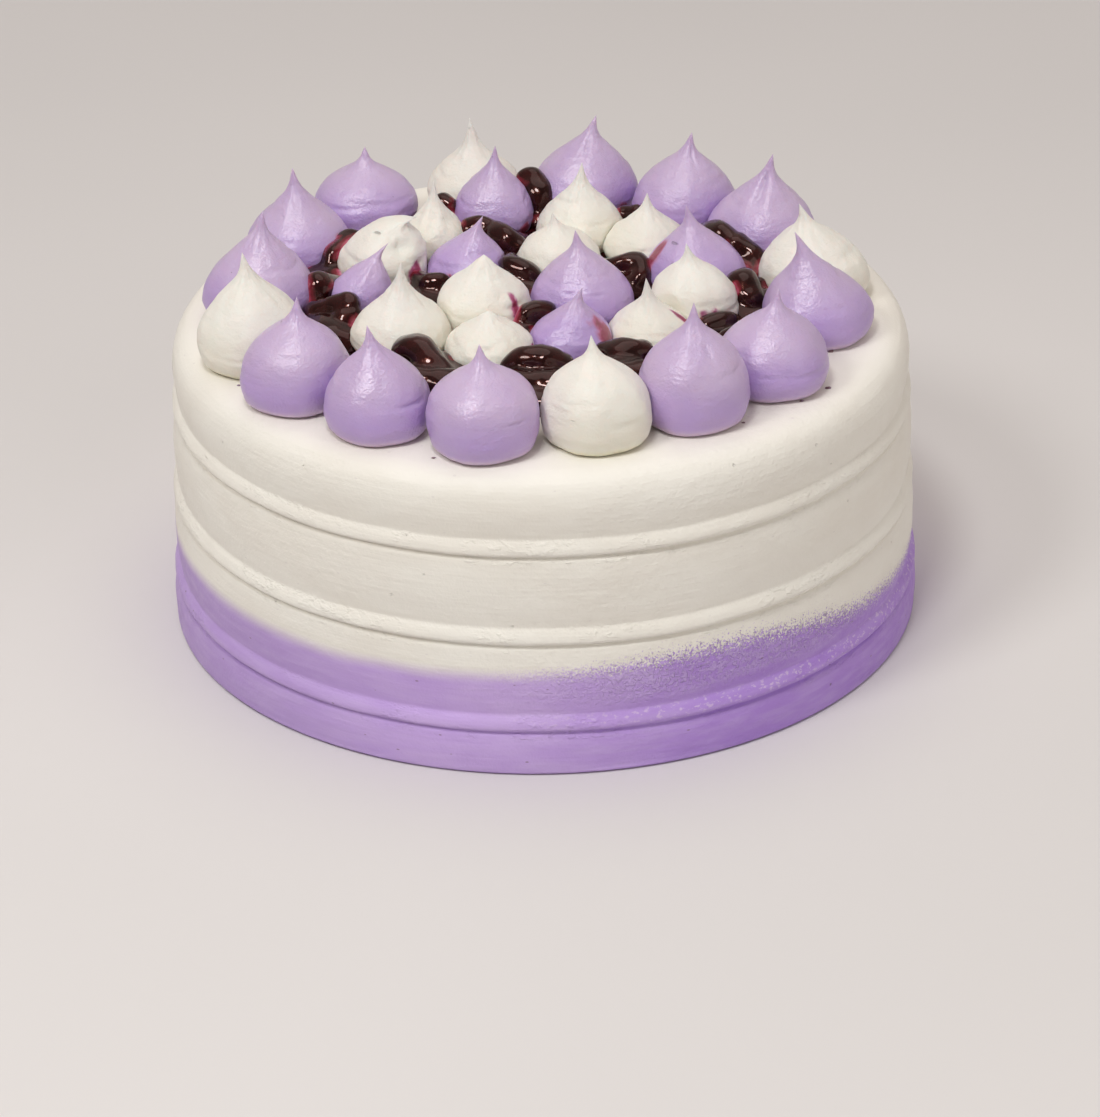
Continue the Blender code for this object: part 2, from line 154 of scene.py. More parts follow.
# The coated berries in the heaps, as runs: (heap, counted from 1, then each place: right of centre, behind
# centre, above the cake's top and radius), in mm.
RUNS = (
    (1, (-65.5, 3.0, 8.5, 5.4), (-61.0, 7.5, 7.5, 3.2), (-58.5, 9.5, 7.0, 2.0)),
    (1, (-66.0, 1.0, 5.0, 4.5)),
    (2, (-65.0, -7.5, 5.0, 3.6), (-60.5, -8.5, 7.5, 3.8), (-56.0, -9.5, 8.5, 4.6)),
    (2, (-55.5, -12.5, 5.5, 5.0), (-55.5, -15.5, 3.0, 4.0)),
    (3, (-56.5, 35.5, 8.5, 4.2), (-59.0, 29.5, 7.5, 4.6), (-62.0, 26.5, 4.5, 4.0)),
    (4, (-28.5, 64.5, 8.5, 3.2), (-27.0, 63.0, 6.5, 3.2)),
    (5, (-2.0, 71.0, 12.0, 4.6), (0.5, 67.0, 10.0, 4.6), (3.5, 66.5, 8.5, 3.0)),
    (5, (0.5, 65.0, 7.0, 4.0)),
    (6, (25.5, 55.0, 7.0, 3.0), (30.0, 54.0, 7.5, 3.0)),
    (7, (50.5, 38.0, 8.0, 3.4), (54.5, 34.0, 10.0, 4.0), (59.0, 33.0, 9.5, 4.0)),
    (7, (60.5, 30.5, 8.5, 4.2), (63.0, 24.5, 6.0, 4.0), (64.5, 20.0, 4.0, 3.0)),
    (8, (59.0, 0.5, 8.5, 5.0), (60.5, -4.0, 5.5, 5.2)),
    (8, (64.5, 4.5, 6.0, 2.4)),
    (9, (48.0, -19.0, 5.0, 3.6), (52.5, -17.5, 5.0, 3.4), (56.0, -14.5, 4.0, 2.0)),
    (9, (55.0, -31.0, 4.5, 5.0)),
    (10, (18.5, -40.5, 6.5, 3.4), (23.0, -43.5, 7.5, 4.6), (28.0, -42.0, 7.0, 4.2)),
    (10, (24.5, -47.5, 4.5, 5.0), (17.0, -54.0, 4.5, 5.0), (29.0, -52.0, 4.5, 5.0)),
    (11, (-8.0, -48.5, 6.5, 3.8), (-5.0, -49.0, 8.5, 4.4), (0.5, -49.5, 9.0, 4.6), (5.0, -49.0, 7.0, 4.4)),
    (11, (2.0, -52.5, 5.0, 4.0), (-8.0, -57.0, 4.5, 5.0), (4.0, -57.0, 4.5, 5.0)),
    (12, (-38.0, -38.5, 7.5, 4.8), (-35.0, -40.5, 8.5, 5.0), (-31.5, -45.0, 6.5, 5.0),
     (-28.5, -49.0, 4.5, 4.5)),
    (12, (-28.0, -41.5, 6.0, 2.6), (-27.0, -42.5, 4.0, 2.8)),
    (12, (-37.0, -52.0, 4.5, 5.0), (-25.0, -56.0, 4.5, 5.0)),
    (13, (-20.5, 43.5, 8.0, 4.0), (-16.5, 43.5, 9.0, 3.6)),
    (13, (-15.0, 43.0, 8.5, 3.0), (-10.0, 37.5, 7.5, 4.4), (-6.5, 34.5, 5.5, 3.6)),
    (14, (-13.0, 22.0, 7.5, 3.0), (-8.0, 16.0, 8.0, 4.0), (-3.5, 14.0, 6.0, 4.4), (-2.5, 12.5, 3.0, 3.0)),
    (15, (-36.5, 13.5, 6.5, 2.6), (-33.0, 8.5, 6.5, 3.4), (-29.0, 7.5, 6.5, 3.4), (-30.5, 5.5, 3.0, 3.6)),
    (16, (19.0, 19.5, 6.5, 2.4), (24.5, 17.0, 7.5, 3.2), (29.0, 17.0, 7.5, 3.8), (29.0, 12.0, 4.5, 4.0)),
    (17, (-6.5, -17.0, 6.5, 3.2), (-3.0, -17.0, 8.0, 4.0), (1.5, -15.0, 7.5, 3.6), (5.0, -12.0, 6.5, 2.2)),
    (17, (-2.5, -18.5, 4.0, 3.4)),
)

# Crumbs on the top by the kisses: (right of centre, behind centre, size), in mm.
CRUMBS = (
    (85.0, -26.5, 0.9), (86.5, -25.0, 0.6), (83.0, -29.0, 0.7), (81.0, -53.0, 0.6), (73.0, -61.0, 0.4),
    (92.0, -19.0, 0.4), (56.0, -74.0, 0.35), (-30.0, -92.0, 0.35), (-58.0, -73.0, 0.4), (-86.0, -44.0, 0.35),
    (95.0, 4.0, 0.4), (60.0, 78.0, 0.5), (-40.0, 88.0, 0.4), (-90.0, 24.0, 0.45),
)


# Camera and light

CAMERA_ELEVATION = 28.06
CAMERA_ROLL = -1.11
CAMERA_DISTANCE = 1.3836
CAMERA_AIM = (0.0015, 0.0, 0.01)
FOCAL_PIXELS = 4600
PICTURE_PIXELS = 1117
SENSOR_MM = 36

# Each round lamp: (name, place, width, watts, colour). They all point at LAMP_AIM.
LAMP_AIM = (0, 0, 0.08)
LAMPS = (
    ("key", (-0.74, -0.72, 1.2), 0.42, 6.9, (1.0, 0.985, 0.96)),
    ("glint", (-0.2, -0.6, 1.35), 0.28, 6, (1.0, 1.0, 1.0)),
    ("overhead", (0.1, 0.3, 1.6), 1.4, 4.6, (1.0, 0.965, 0.94)),
    ("fill", (1.3, -1.4, 0.8), 2.4, 10, (1.0, 0.95, 0.91)),
)
ROOM_IN_FRONT = (0.15, 0.145, 0.14, 1)
ROOM_BEHIND = (0.56, 0.49, 0.45, 1)
FLOOR_COLOUR = (0.72, 0.7, 0.69)
FLOOR_REACH = 6


def make_camera():
    """The photograph's view: 28 degrees down on the front, turned slightly on its axis."""
    elevation = math.radians(CAMERA_ELEVATION)
    back = Vector((0, -math.cos(elevation), math.sin(elevation)))
    camera = bpy.data.cameras.new("camera")
    camera.sensor_width = SENSOR_MM
    camera.lens = FOCAL_PIXELS * SENSOR_MM / PICTURE_PIXELS
    camera.clip_start = 0.05
    camera.clip_end = 20
    obj = bpy.data.objects.new("camera", camera)
    bpy.context.scene.collection.objects.link(obj)
    place = Matrix.Translation(Vector(CAMERA_AIM) + back * CAMERA_DISTANCE)
    turn = back.to_track_quat("Z", "Y").to_matrix().to_4x4()
    roll = Matrix.Rotation(math.radians(CAMERA_ROLL), 4, "Z")
    obj.matrix_world = place @ turn @ roll
    bpy.context.scene.camera = obj


def make_lamp(name, place, width, watts, colour):
    lamp = bpy.data.lights.new(name, "AREA")
    lamp.shape = "DISK"
    lamp.size = width
    lamp.energy = watts
    lamp.color = colour
    obj = bpy.data.objects.new(name, lamp)
    bpy.context.scene.collection.objects.link(obj)
    obj.location = place
    obj.rotation_euler = (Vector(place) - Vector(LAMP_AIM)).to_track_quat("Z", "Y").to_euler()


def make_room():
    """The light from all round: darker in front of the cake and brighter behind it."""
    world = bpy.data.worlds.new("soft_room")
    world.use_nodes = True
    tree = world.node_tree
    place = tree.nodes.new("ShaderNodeTexCoord")
    parts = tree.nodes.new("ShaderNodeSeparateXYZ")
    share = tree.nodes.new("ShaderNodeMapRange")
    room = tree.nodes.new("ShaderNodeMix")
    room.data_type = "RGBA"
    share.inputs["From Min"].default_value = -0.6
    share.inputs["From Max"].default_value = 0.8
    room.inputs[6].default_value = ROOM_IN_FRONT
    room.inputs[7].default_value = ROOM_BEHIND
    tree.links.new(place.outputs["Generated"], parts.inputs["Vector"])
    tree.links.new(parts.outputs["Y"], share.inputs["Value"])
    tree.links.new(share.outputs["Result"], room.inputs[0])
    tree.links.new(room.outputs[2], tree.nodes["Background"].inputs["Color"])
    bpy.context.scene.world = world
    bpy.context.scene.view_settings.view_transform = "Standard"


def make_floor():
    reach = FLOOR_REACH
    mesh = bpy.data.meshes.new("floor")
    corners = [(-reach, -reach, 0), (reach, -reach, 0), (reach, reach, 0), (-reach, reach, 0)]
    mesh.from_pydata(corners, [], [(0, 1, 2, 3)])
    floor = bpy.data.objects.new("floor", mesh)
    bpy.context.scene.collection.objects.link(floor)
    mesh.materials.append(floor_material())


# Materials

class Nodes:
    """A material's node tree, with short calls for the nodes used here."""

    def __init__(self, name):
        self.material = bpy.data.materials.new(name)
        self.material.use_nodes = True
        self.tree = self.material.node_tree
        self.shader = self.tree.nodes["Principled BSDF"]

    def add(self, kind, links=None, **settings):
        node = self.tree.nodes.new(kind)
        for key, value in settings.items():
            setattr(node, key, value)
        for socket, value in (links or {}).items():
            self.put(node, socket, value)
        return node

    def put(self, node, socket, value):
        if isinstance(value, bpy.types.NodeSocket):
            self.tree.links.new(value, node.inputs[socket])
        else:
            node.inputs[socket].default_value = value

    def set(self, **values):
        for socket, value in values.items():
            self.put(self.shader, socket.replace("_", " "), value)

    def place(self):
        """The place in the row frame, in metres."""
        return self.add("ShaderNodeTexCoord").outputs["Object"]

    def axis(self, vector, name):
        return self.add("ShaderNodeSeparateXYZ", {"Vector": vector}).outputs[name]

    def stored(self, name):
        """A number that the mesh keeps for each point."""
        return self.add("ShaderNodeAttribute", attribute_name=name).outputs["Fac"]

    def stretch(self, vector, scale, move=(0, 0, 0)):
        links = {"Vector": vector, "Scale": scale, "Location": move}
        return self.add("ShaderNodeMapping", links).outputs["Vector"]

    def noise(self, vector, scale, detail=2.0, roughness=0.5, distortion=0.0):
        links = {"Vector": vector, "Scale": scale, "Detail": detail}
        links.update({"Roughness": roughness, "Distortion": distortion})
        return self.add("ShaderNodeTexNoise", links).outputs["Fac"]

    def cells(self, vector, scale):
        return self.add("ShaderNodeTexVoronoi", {"Vector": vector, "Scale": scale}).outputs

    def math(self, operation, first, second=0.0):
        return self.add("ShaderNodeMath", {0: first, 1: second}, operation=operation).outputs[0]

    def product(self, first, *others):
        for other in others:
            first = self.math("MULTIPLY", first, other)
        return first

    def total(self, first, *others):
        for other in others:
            first = self.math("ADD", first, other)
        return first

    def ease(self, value, low, high, to_low=0.0, to_high=1.0):
        links = {"Value": value, "From Min": low, "From Max": high, "To Min": to_low, "To Max": to_high}
        return self.add("ShaderNodeMapRange", links, interpolation_type="SMOOTHSTEP").outputs["Result"]

    def mix(self, share, first, second):
        links = {0: share, 6: first, 7: second}
        return self.add("ShaderNodeMix", links, data_type="RGBA").outputs[2]

    def bump(self, height, depth, below=None):
        links = {"Height": height, "Distance": depth, "Strength": 1.0}
        if below is not None:
            links["Normal"] = below
        return self.add("ShaderNodeBump", links).outputs["Normal"]


def rgb(r, g, b):
    return (r, g, b, 1.0)


def floor_material():
    n = Nodes("pale_floor")
    cloud = n.ease(n.noise(n.place(), 3.0), 0.3, 0.7)
    darker = (0.97 * part for part in FLOOR_COLOUR)
    n.set(Base_Color=n.mix(cloud, rgb(*FLOOR_COLOUR), rgb(*darker)), Roughness=0.8)
    return n.material


def pits(n, place, scale, chance, size):
    """1 inside a few scattered pits and 0 elsewhere."""
    cells = n.cells(place, scale)
    inside = n.ease(cells["Distance"], size, 0.6 * size)
    pick = n.axis(cells["Color"], "X")
    return n.product(inside, n.math("LESS_THAN", pick, chance))


# How each buttercream looks: its usual and its deeper colour, the painted shade round its lower side and the
# painted bounce light at its foot, how much of the lower painted shade shows, its roughness and shine, and
# how often it has a pit.
CREAMS = {
    "lilac": {
        "usual": rgb(0.59, 0.46, 0.66), "deep": rgb(0.54, 0.405, 0.63),
        "low_painted_shade": rgb(0.42, 0.26, 0.65), "foot_painted_bounce": rgb(0.71, 0.55, 0.72),
        "low_shade_share": 0.6, "roughness": 0.4, "shine": 0.85, "pit_share": 0.03,
    },
    "white": {
        "usual": rgb(0.845, 0.825, 0.765), "deep": rgb(0.82, 0.795, 0.73),
        "low_painted_shade": rgb(0.83, 0.79, 0.67), "foot_painted_bounce": rgb(0.83, 0.78, 0.56),
        "low_shade_share": 0.5, "roughness": 0.54, "shine": 0.4, "pit_share": 0.002,
    },
}
THIN_STAIN = rgb(0.50, 0.16, 0.30)
THICK_STAIN = rgb(0.30, 0.035, 0.09)


def cream_colour(n, place, pit, usual, deep, low_painted_shade, foot_painted_bounce, low_shade_share):
    """Cloudy, painted shade low on the kiss and in its pits, painted bounce light at its foot, and stains of
    gel.
    """
    cloud = n.ease(n.noise(place, 48.0, 3.0, 0.55, 0.4), 0.32, 0.68)
    colour = n.mix(cloud, usual, deep)
    # Painted shade: deeper low colour, also in streaks, from just over the foot to under the shoulder.
    level = n.total(n.axis(place, "Z"), n.product(n.noise(place, 70.0, 2.0), 0.006))
    over_foot = n.ease(level, 0.0935, 0.0985)
    under_shoulder = n.ease(level, 0.1125, 0.1)
    colour = n.mix(n.product(over_foot, under_shoulder, low_shade_share), colour, low_painted_shade)
    streaks = n.ease(n.noise(n.stretch(place, (1, 1, 4.0)), 60.0, 1.0), 0.5, 0.8)
    colour = n.mix(n.product(streaks, under_shoulder, 0.4 * low_shade_share), colour, low_painted_shade)
    # Painted bounce light: a lighter, warmer foot, as if lit by light bounced up off the iced top.
    colour = n.mix(n.ease(n.axis(place, "Z"), 0.0942, 0.0915, 0.0, 0.75), colour, foot_painted_bounce)
    # Painted shade: the pits and dashes are darkened for the shadow inside them.
    colour = n.mix(n.product(pit, 0.6), colour, rgb(*(0.38 * part for part in deep[:3])))
    uneven = n.ease(n.noise(place, 330.0, 3.0, 0.6), 0.25, 0.7, 0.5, 1.5)
    stain = n.product(n.stored("stain"), uneven)
    colour = n.mix(n.ease(stain, 0.0, 0.3), colour, THIN_STAIN)
    return n.mix(n.ease(stain, 0.16, 0.55), colour, THICK_STAIN)


def buttercream(name, roughness, shine, pit_share, **colours):
    """Whipped buttercream: soft light inside, a fine satin grain, and small pits and dashes."""
    n = Nodes(name)
    place = n.place()
    dashes = pits(n, n.stretch(place, (0.42, 0.42, 1.6)), 300.0, pit_share, 0.18)
    dots = pits(n, n.stretch(place, (1, 1, 1), (0.05, 0.02, 0.01)), 330.0, 0.8 * pit_share, 0.1)
    pit = n.math("MAXIMUM", dashes, dots)
    waves = n.noise(n.stretch(place, (1, 1, 2.6)), 110.0, 2.0, 0.6)
    pebbles = n.noise(n.stretch(place, (1, 1, 1.4)), 420.0, 2.0, 0.6)
    grain = n.noise(place, 1400.0, 1.0, 0.6)
    normal = n.bump(waves, 0.0004)
    normal = n.bump(pebbles, 0.0002, normal)
    normal = n.bump(grain, 0.00014, normal)
    normal = n.bump(n.product(dashes, -1.0), 0.00035, normal)
    n.set(
        Base_Color=cream_colour(n, place, pit, **colours), Normal=normal,
        Roughness=n.ease(n.noise(place, 60.0, 2.0), 0.35, 0.65, roughness - 0.05, roughness + 0.05),
        Specular_IOR_Level=shine, Subsurface_Weight=0.5, Subsurface_Scale=0.0028,
        Coat_Weight=0.35 * shine, Coat_Roughness=0.24, Coat_Normal=n.bump(grain, 0.00025, normal),
    )
    n.shader.inputs["Subsurface Radius"].default_value = (1.0, 0.75, 0.7)
    return n.material


def off_middle(n, place, scale, reach, *shape):
    """A noise that goes up and down from 0, in metres."""
    return n.product(n.math("SUBTRACT", n.noise(place, scale, *shape), 0.5), reach)


def purple_share(n, place, to_right):
    """1 in the purple foot and 0 over it. Its edge sways, and turns from soft to grainy to the right."""
    across = n.axis(place, "X")
    rise = n.ease(across, -0.03, 0.035, 0.0, -0.0032)
    drop = n.ease(across, 0.055, 0.112, 0.0, 0.0095)
    sway = off_middle(n, place, 16.0, 0.004)
    crumbs = n.product(off_middle(n, place, 1700.0, 0.02, 2.0, 0.6), to_right)
    level = n.total(n.axis(place, "Z"), rise, drop, sway, crumbs)
    soft = n.ease(level, (PURPLE_TOP + 3.0) * MM, (PURPLE_TOP - 3.4) * MM)
    crisp = n.ease(level, (PURPLE_TOP + 2.2) * MM, (PURPLE_TOP - 2.2) * MM)
    return n.add("ShaderNodeMix", {0: to_right, 2: soft, 3: crisp}).outputs[0]


def purple_icing(n, place, cloud, grainy, to_right):
    """The purple's colour: darker at both ends as painted shade, streaky, and chipped along the bead on the
    right.
    """
    across = n.axis(place, "X")
    height = n.axis(place, "Z")
    colour = n.mix(cloud, rgb(0.61, 0.435, 0.80), rgb(0.53, 0.35, 0.75))
    # Painted shade: darker to the left, where the lamps light it strongly, and to the right, away from the
    # lamps.
    colour = n.mix(n.ease(across, -0.03, -0.09), colour, rgb(0.49, 0.335, 0.68))
    colour = n.mix(n.ease(across, 0.0, 0.06), colour, rgb(0.425, 0.245, 0.69))
    streaks = n.ease(n.noise(n.stretch(place, (1, 1, 7.0)), 60.0, 2.0, 0.6), 0.35, 0.75)
    colour = n.mix(n.product(streaks, 0.24), colour, rgb(0.67, 0.53, 0.82))
    colour = n.mix(n.product(grainy, 0.34), colour, rgb(0.66, 0.52, 0.80))
    on_bead = n.product(n.ease(height, 0.0135, 0.0165), n.ease(height, 0.0195, 0.0175))
    chips = n.ease(n.noise(n.stretch(place, (0.6, 0.6, 1.0)), 1000.0, 2.0, 0.6), 0.54, 0.66, 0.0, 0.55)
    return n.mix(n.product(chips, on_bead, to_right), colour, rgb(0.78, 0.66, 0.80))


def icing_relief(n, place, pebbly, holes):
    """The icing's small relief: rough patches, scrapes along the side, broken beads, grain and holes."""
    patches = n.ease(n.noise(place, 24.0, 0.0), 0.38, 0.62)
    plaster = n.product(n.noise(place, 430.0, 2.0, 0.6), patches)
    scrapes = n.noise(n.stretch(place, (0.35, 0.35, 5.0)), 150.0, 2.0, 0.55)
    over_groove = n.math("SUBTRACT", n.axis(place, "Z"), (FIRST_GROOVE - 2) * MM)
    near_bead = n.ease(n.math("FLOORED_MODULO", over_groove, COMB_PITCH * MM), 0.0085, 0.0065)
    breaks = n.ease(n.noise(n.stretch(place, (0.8, 0.8, 1.5)), 380.0, 2.0, 0.65), 0.46, 0.7)
    here_and_there = n.ease(n.noise(place, 60.0, 0.0), 0.42, 0.58)
    pebbles = n.product(n.noise(place, 700.0, 1.0, 0.6), pebbly)
    normal = n.bump(n.noise(place, 45.0, 1.0), 0.0005)
    normal = n.bump(plaster, 0.00028, normal)
    normal = n.bump(scrapes, 0.00017, normal)
    normal = n.bump(n.product(breaks, near_bead, here_and_there), 0.0002, normal)
    normal = n.bump(n.noise(place, 1200.0, 1.0, 0.6), 0.00009, normal)
    normal = n.bump(pebbles, 0.0006, normal)
    return n.bump(n.product(holes, -1.0), 0.0003, normal)


def cake_icing():
    """The iced side and top: warm white with a purple foot, blurred on the left and grainy on the right."""
    n = Nodes("cake_icing")
    place = n.place()
    to_right = n.ease(n.axis(place, "X"), -0.03, 0.045)
    purple_here = purple_share(n, place, to_right)
    cloud = n.ease(n.noise(n.stretch(place, (1, 1, 2.2)), 26.0, 3.0, 0.55), 0.3, 0.7)
    over_bead = n.ease(n.axis(place, "Z"), 0.018, 0.026)
    grainy = n.product(n.ease(n.noise(place, 900.0, 1.0, 0.7), 0.42, 0.62), to_right, over_bead)
    white = n.mix(cloud, rgb(0.885, 0.86, 0.79), rgb(0.85, 0.815, 0.74))
    purple = purple_icing(n, place, cloud, grainy, to_right)
    holes = pits(n, place, 210.0, 0.06, 0.1)
    dash_pits = pits(n, n.stretch(place, (1, 1, 2.2)), 330.0, 0.05, 0.2)
    # Painted shade: the holes and small dashes are darkened, more in the purple, for the shadow inside them.
    dark = n.product(n.math("MAXIMUM", holes, dash_pits), n.total(n.product(purple_here, 0.6), 0.1))
    n.set(
        Base_Color=n.mix(dark, n.mix(purple_here, white, purple), rgb(0.25, 0.17, 0.27)),
        Normal=icing_relief(n, place, n.product(grainy, purple_here), holes),
        Roughness=n.ease(n.noise(place, 300.0, 1.0), 0.3, 0.7, 0.46, 0.62),
        Specular_IOR_Level=0.4,
    )
    return n.material


def compote():
    """Berry gel: nearly black where it is deep, wine red to pink where it runs thin, and wet all over."""
    n = Nodes("berry_compote")
    place = n.place()
    thin = n.total(n.stored("thin"), off_middle(n, place, 260.0, 0.5, 3.0, 0.6, 0.6))
    cloud = n.ease(n.noise(place, 170.0, 3.0, 0.6), 0.35, 0.7)
    colour = n.mix(cloud, rgb(0.010, 0.0015, 0.0015), rgb(0.028, 0.004, 0.004))
    colour = n.mix(n.ease(thin, 0.25, 0.7), colour, rgb(0.14, 0.011, 0.02))
    colour = n.mix(n.ease(thin, 0.7, 1.05), colour, rgb(0.36, 0.055, 0.10))
    colour = n.mix(n.ease(thin, 1.0, 1.3), colour, rgb(0.56, 0.27, 0.36))
    n.set(
        Base_Color=colour, Normal=n.bump(n.noise(place, 210.0, 2.0, 0.5, 0.4), 0.00006),
        Roughness=n.ease(n.noise(place, 330.0, 2.0), 0.35, 0.7, 0.1, 0.24),
        Specular_IOR_Level=0.3, Specular_Tint=rgb(1.0, 0.34, 0.25), IOR=1.45,
        Subsurface_Weight=0.2, Subsurface_Scale=0.002,
        Coat_Weight=0.5, Coat_Roughness=0.02, Coat_IOR=1.5,
    )
    n.shader.inputs["Subsurface Radius"].default_value = (1.0, 0.2, 0.2)
    return n.material


def crumb_brown():
    n = Nodes("crumb_brown")
    share = n.ease(n.noise(n.place(), 500.0), 0.4, 0.6)
    n.set(Base_Color=n.mix(share, rgb(0.22, 0.13, 0.14), rgb(0.34, 0.24, 0.36)), Roughness=0.75)
    return n.material


# Shapes

def as_object(name, mesh, material, slot, *nodes):
    """A finished piece: smooth, on the cake's body and standing for its solids; the slot it is given is not
    used.
    """
    obj = bpy.data.objects.new(name, mesh)
    bpy.context.scene.collection.objects.link(obj)
    mesh.materials.append(material)
    mesh.shade_smooth()
    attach(obj, "root")
    if nodes:
        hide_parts(*nodes)
    return obj


def mesh_of(name, verts, quads, tris):
    """A mesh from arrays of places in mm, four-sided faces and triangles."""
    mesh = bpy.data.meshes.new(name)
    corners = np.concatenate([np.ravel(quads), np.ravel(tris)]).astype(np.int32)
    quad_starts = np.arange(len(quads)) * 4
    tri_starts = len(quads) * 4 + np.arange(len(tris)) * 3
    starts = np.concatenate([quad_starts, tri_starts]).astype(np.int32)
    mesh.vertices.add(len(verts))
    mesh.vertices.foreach_set("co", (np.asarray(verts, dtype=np.float32) * MM).ravel())
    mesh.loops.add(len(corners))
    mesh.loops.foreach_set("vertex_index", corners)
    mesh.polygons.add(len(starts))
    mesh.polygons.foreach_set("loop_start", starts)
    mesh.update(calc_edges=True)
    mesh.validate()
    return mesh


def store(mesh, name, values):
    """Keeps a number for each point of a mesh, for its material."""
    layer = mesh.attributes.new(name, "FLOAT", "POINT")
    layer.data.foreach_set("value", np.asarray(values, dtype=np.float32))


def wrapped(name, rings, top, bottom):
    """A closed skin over rings of points that run down from a top point to a bottom point."""
    rows, columns = rings.shape[:2]
    verts = np.concatenate([rings.reshape(-1, 3), [top, bottom]])
    here = np.arange(columns)
    after = (here + 1) % columns
    quads = []
    for row in range(rows - 1):
        upper = row * columns
        lower = upper + columns
        quads.append(np.stack([upper + here, lower + here, lower + after, upper + after], 1))
    last = (rows - 1) * columns
    tris = np.concatenate([
        np.stack([np.full(columns, rows * columns), here, after], 1),
        np.stack([np.full(columns, rows * columns + 1), last + after, last + here], 1),
    ])
    return mesh_of(name, verts, np.concatenate(quads), tris)


def even_steps(points, count):
    """count points at even distances along a line of points."""
    points = np.asarray(points, dtype=float)
    run = np.concatenate([[0], np.cumsum(np.hypot(*np.diff(points, axis=0).T))])
    at = np.linspace(0, run[-1], count)
    return np.stack([np.interp(at, run, points[:, k]) for k in range(2)], 1)


def side_radius(z):
    return BASE_RADIUS + (RIM_RADIUS - BASE_RADIUS) * z / CAKE_HEIGHT


def band_offset(share):
    if share < BAND_CROWN_AT:
        return -BAND_GROOVE * (1 - share / BAND_CROWN_AT) ** 2
    return -BAND_TUCK * ((share - BAND_CROWN_AT) / (1 - BAND_CROWN_AT)) ** 2


def bead_offset(share):
    if share < BEAD_CREST_AT:
        return -BAND_TUCK + (BAND_TUCK + BEAD_CREST) * math.sin(math.pi / 2 * share / BEAD_CREST_AT)
    return BEAD_CREST - (BAND_GROOVE + BEAD_CREST) * ((share - BEAD_CREST_AT) / (1 - BEAD_CREST_AT)) ** 2


def notch_depth(z):
    """The thin line that the comb cuts under each bead."""
    grooves = [FIRST_GROOVE + bead * COMB_PITCH for bead in range(BEAD_COUNT)]
    return NOTCH_DEPTH * sum(math.exp(-(((z - groove) / NOTCH_HEIGHT) ** 2)) for groove in grooves)


def comb_offset(z):
    """How far the combed side stands off the plain taper at a height, but for the notches."""
    top = CAKE_HEIGHT - RIM_ROUND
    first = BAND_CROWN_AT
    for bead in reversed(range(BEAD_COUNT)):
        groove = FIRST_GROOVE + bead * COMB_PITCH
        corner = groove + BEAD_HEIGHT
        if z > corner:
            return band_offset(first + (1 - first) * (top - z) / (top - corner))
        if z > groove:
            return bead_offset((corner - z) / BEAD_HEIGHT)
        top = groove
        first = 0.0
    return band_offset(0.7 * (top - z) / (top - FOOT_ROUND))


def make_cake(material):
    """The body: the solid's outline in fine steps, with a hand-held comb's slight waver."""
    columns = 400
    rows = 236
    flat = side_radius(CAKE_HEIGHT) - RIM_ROUND
    outline = [(6.0, CAKE_HEIGHT)]
    for step in range(13):
        angle = math.pi / 2 * (1 - step / 12)
        out = RIM_ROUND * math.cos(angle)
        down = RIM_ROUND * (1 - math.sin(angle))
        outline.append((flat + out, CAKE_HEIGHT - down))
    for z in np.linspace(CAKE_HEIGHT - RIM_ROUND, FOOT_ROUND, 400)[1:]:
        outline.append((side_radius(z) + comb_offset(z) - notch_depth(z), z))
    outline += [(BASE_RADIUS - 0.3 * FOOT_ROUND, 0.5 * FOOT_ROUND), (BASE_RADIUS - FOOT_ROUND, 0.0)]
    top_part = even_steps(outline[:2], 14)[:-1]
    side_part = even_steps(outline[1:], rows - 13)
    for _ in range(rows // 10):
        middle = (side_part[:-2] + 2 * side_part[1:-1] + side_part[2:]) / 4
        at_rim = side_part[1:-1, 1:] > RIM_SOFT_FROM
        side_part[1:-1] = np.where(at_rim, middle, side_part[1:-1])
    line = np.concatenate([top_part, side_part])
    rings = np.zeros((len(line), columns, 3))
    bearings = np.arange(columns) * math.tau / columns
    for row, (radius, z) in enumerate(line):
        side = 1.0 if FOOT_ROUND < z < CAKE_HEIGHT - 2 else 0.0
        for column, bearing in enumerate(bearings):
            c, s = math.cos(bearing), math.sin(bearing)
            waver = 0.22 * noise.noise(Vector((2.2 * c, 2.2 * s, z * 0.05)))
            waver += 0.12 * noise.noise(Vector((9 * c, 9 * s, z * 0.11)))
            waver += 0.14 * side * noise.noise(Vector((26 * c, 26 * s, z * 0.25)))
            lift = 0.25 * side * noise.noise(Vector((3 * c + 7, 3 * s, 0.3))) if z > 6 else 0.0
            dip = 0.0
            if z > CAKE_HEIGHT - 1:
                dip = 0.18 * abs(noise.noise(Vector((radius * c * 0.06, radius * s * 0.06, 4.0))))
            r = radius + (waver if z > FOOT_ROUND else 0.0)
            rings[row, column] = (r * c, r * s, z + lift - dip)
    mesh = wrapped("iced_cake", rings, (0, 0, CAKE_HEIGHT), (0, 0, 0))
    as_object("iced_cake", mesh, material, "cake_icing", "cake_body")


